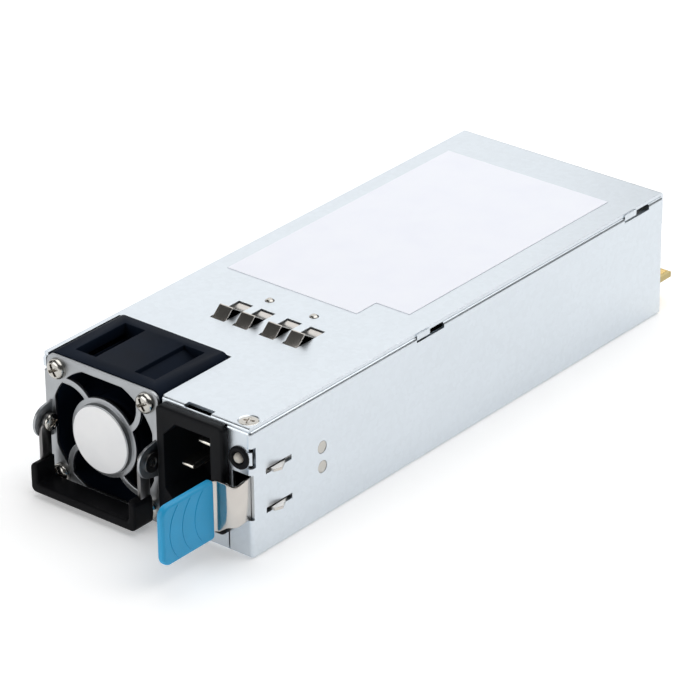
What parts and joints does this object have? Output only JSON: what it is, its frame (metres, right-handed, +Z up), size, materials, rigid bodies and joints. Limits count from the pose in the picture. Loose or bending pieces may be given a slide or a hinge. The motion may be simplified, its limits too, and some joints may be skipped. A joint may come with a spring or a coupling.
{
  "type": "server power supply",
  "caption": "Slim metal hot swap power supply with fan, guard, folding pull handle, mains inlet, sprung side latch and card edge plug.",
  "frame": {"origin": "middle of the casing's flat underside", "axes": "+Y from the fan and inlet face to the card edge, +Z up through the cover, +X towards the latch side"},
  "size_m": [0.0757, 0.2214, 0.0414],
  "materials": {
    "zinc_sheet": "bright zinc, satin",
    "label_film": "matt film",
    "screw_steel": "bright plated",
    "spring_steel": "nickel, satin",
    "guard_steel": "satin",
    "disk_foil": "matt foil",
    "fan_black": "fine matt",
    "magnet_iron": "dull",
    "bearing_metal": "plain",
    "shaft_steel": "polished",
    "handle_steel": "dark nickel, polished",
    "black_plastic": "fine matt",
    "socket_black": "semi-gloss",
    "blade_nickel": "nickel plated",
    "light_clear": "clear",
    "blue_plastic": "satin",
    "board_green": "solder mask, satin",
    "contact_gold": "gold plated",
    "sheet_film": "matt film",
    "fuse_ceramic": "ceramic, smooth",
    "ferrite": "matt",
    "copper_wire": "enamelled",
    "film_box": "matt",
    "relay_case": "matt",
    "chip_black": "matt",
    "heatsink_alu": "extruded",
    "bobbin_plastic": "matt",
    "can_sleeve": "shrink sleeve",
    "yellow_tape": "tape",
    "bus_copper": "tinned copper",
    "can_alu": "bare",
    "white_plastic": "matt"
  },
  "bodies": {
    "casing": {"chassis": "zinc_sheet", "top_cover": "zinc_sheet", "rear_panel": "zinc_sheet", "rating_label": "label_film", "cover_screw": "screw_steel", "contact_strip_left": "spring_steel", "contact_strip_right": "spring_steel", "contact_rivets": "screw_steel", "fan_frame": "fan_black", "fan_stator": "magnet_iron", "fan_bearings": "bearing_metal", "fan_screws": "screw_steel", "fan_guard": "guard_steel", "guard_disk": "disk_foil", "pivot_screws": "screw_steel", "pivot_nuts": "handle_steel", "inlet_body": "socket_black", "inlet_pins": "blade_nickel", "light_ring": "socket_black", "light": "light_clear", "latch_root": "spring_steel", "latch_rivets": "screw_steel", "main_board": "board_green", "gold_fingers": "contact_gold", "standoffs": "bearing_metal", "board_screws": "screw_steel", "insulating_sheet": "sheet_film", "fuse": "fuse_ceramic", "choke_core": "ferrite", "choke_winding": "copper_wire", "choke_base": "bobbin_plastic", "film_capacitors": "film_box", "relay": "relay_case", "bridge_rectifier": "chip_black", "input_heatsink": "heatsink_alu", "power_switches": "chip_black", "inductor_bobbin": "bobbin_plastic", "inductor_winding": "copper_wire", "bulk_capacitor": "can_sleeve", "capacitor_cradle": "bobbin_plastic", "transformer_core": "ferrite", "transformer_winding": "yellow_tape", "transformer_base": "bobbin_plastic", "output_bars": "bus_copper", "output_capacitors": "can_alu", "output_heatsink": "heatsink_alu", "output_switches": "chip_black", "control_card": "board_green", "card_chips": "chip_black", "fan_socket": "white_plastic"},
    "handle": {"handle_arm_left": "handle_steel", "handle_arm_right": "handle_steel", "handle_grip": "black_plastic"},
    "latch": {"latch_spring": "spring_steel", "latch_tab": "blue_plastic"},
    "rotor": {"fan_rotor": "fan_black", "fan_shaft": "shaft_steel"}
  },
  "joints": [
    {"name": "handle_swing", "type": "hinge", "parent": "casing", "child": "handle", "pos_m": [-0.01455, -0.0961, 0.0203], "axis": [-1, 0, 0], "range_deg": [0, 95]},
    {"name": "latch_flex", "type": "hinge", "parent": "casing", "child": "latch", "pos_m": [0.03535, -0.0665, 0.0183], "axis": [0, 0, -1], "range_deg": [0, 8], "stiffness_Nm_per_rad": 3},
    {"name": "fan_spin", "type": "hinge", "parent": "casing", "child": "rotor", "pos_m": [-0.01455, -0.0795, 0.02], "axis": [0, -1, 0], "continuous": true}
  ]
}
